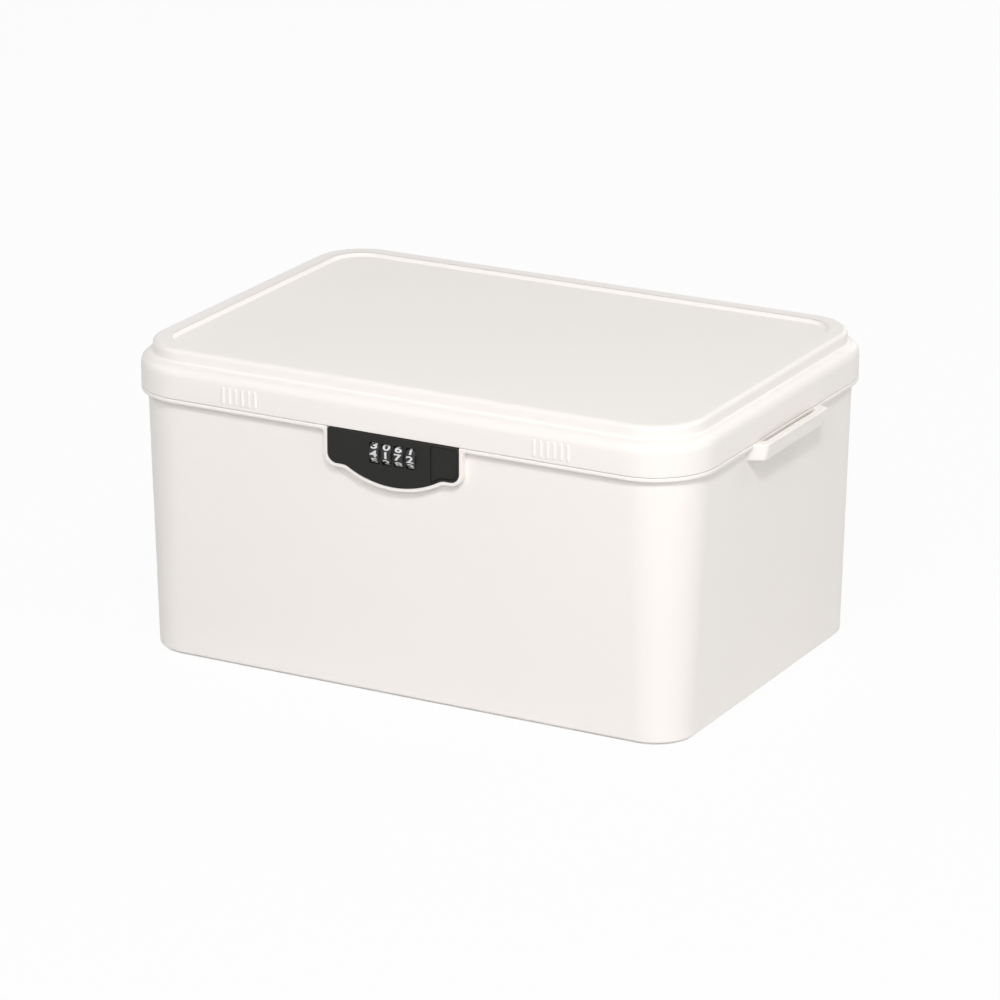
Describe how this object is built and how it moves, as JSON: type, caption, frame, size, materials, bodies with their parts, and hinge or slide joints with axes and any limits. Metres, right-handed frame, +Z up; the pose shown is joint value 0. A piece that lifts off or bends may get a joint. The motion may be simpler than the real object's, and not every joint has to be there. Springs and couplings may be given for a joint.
{
  "type": "combination lock box",
  "caption": "Moulded storage box with a rear-hinged lid, side handles and a combination lock whose sliding bolt enters a catch on the lid.",
  "frame": {"origin": "middle of the flat underside", "axes": "+X to the right seen from the front, the lock on the -Y side, the hinges on the +Y side, +Z up"},
  "size_m": [0.396, 0.2759, 0.194],
  "materials": {
    "shell": "smooth white injection-moulded plastic with a soft gloss",
    "lock_black": "black moulded plastic with a fine matt texture",
    "dial_black": "satin black number wheels with white digits",
    "inner_grey": "grey moulded plastic",
    "steel": "bright zinc-plated steel",
    "spring_steel": "rolled spring steel"
  },
  "bodies": {
    "box": {"tub": "shell", "hinge_pin_left": "steel", "hinge_pin_right": "steel", "faceplate": "lock_black", "lock_case": "lock_black", "lock_cover": "lock_black", "lock_screws": "steel", "cover_screws": "steel", "detent_spring": "spring_steel"},
    "lid": {"lid": "shell", "catch": "steel", "catch_screws": "steel"},
    "dial_1": {"dial_wheel_1": "dial_black", "dial_core_1": "inner_grey"},
    "dial_2": {"dial_wheel_2": "dial_black", "dial_core_2": "inner_grey"},
    "dial_3": {"dial_wheel_3": "dial_black", "dial_core_3": "inner_grey"},
    "dial_4": {"dial_wheel_4": "dial_black", "dial_core_4": "inner_grey"},
    "slider": {"slider_button": "lock_black", "slide_carriage": "inner_grey", "spindle": "steel", "latch_bolt": "steel"},
    "reset": {"reset_button": "inner_grey"}
  },
  "joints": [
    {"name": "lid_hinge", "type": "hinge", "parent": "box", "child": "lid", "pos_m": [0, 0.138, 0.163], "axis": [-1, 0, 0], "range_deg": [0, 100]},
    {"name": "dial_1_turn", "type": "hinge", "parent": "box", "child": "dial_1", "pos_m": [-0.01215, -0.1254, 0.1536], "axis": [1, 0, 0], "continuous": true},
    {"name": "dial_2_turn", "type": "hinge", "parent": "box", "child": "dial_2", "pos_m": [-0.00405, -0.1254, 0.1536], "axis": [1, 0, 0], "continuous": true},
    {"name": "dial_3_turn", "type": "hinge", "parent": "box", "child": "dial_3", "pos_m": [0.00405, -0.1254, 0.1536], "axis": [1, 0, 0], "continuous": true},
    {"name": "dial_4_turn", "type": "hinge", "parent": "box", "child": "dial_4", "pos_m": [0.01215, -0.1254, 0.1536], "axis": [1, 0, 0], "continuous": true},
    {"name": "slider_slide", "type": "slide", "parent": "box", "child": "slider", "axis": [-1, 0, 0], "range_m": [0, 0.004]},
    {"name": "reset_press", "type": "slide", "parent": "box", "child": "reset", "axis": [0, -1, 0], "range_m": [0, 0.0015], "stiffness_N_per_m": 200}
  ]
}
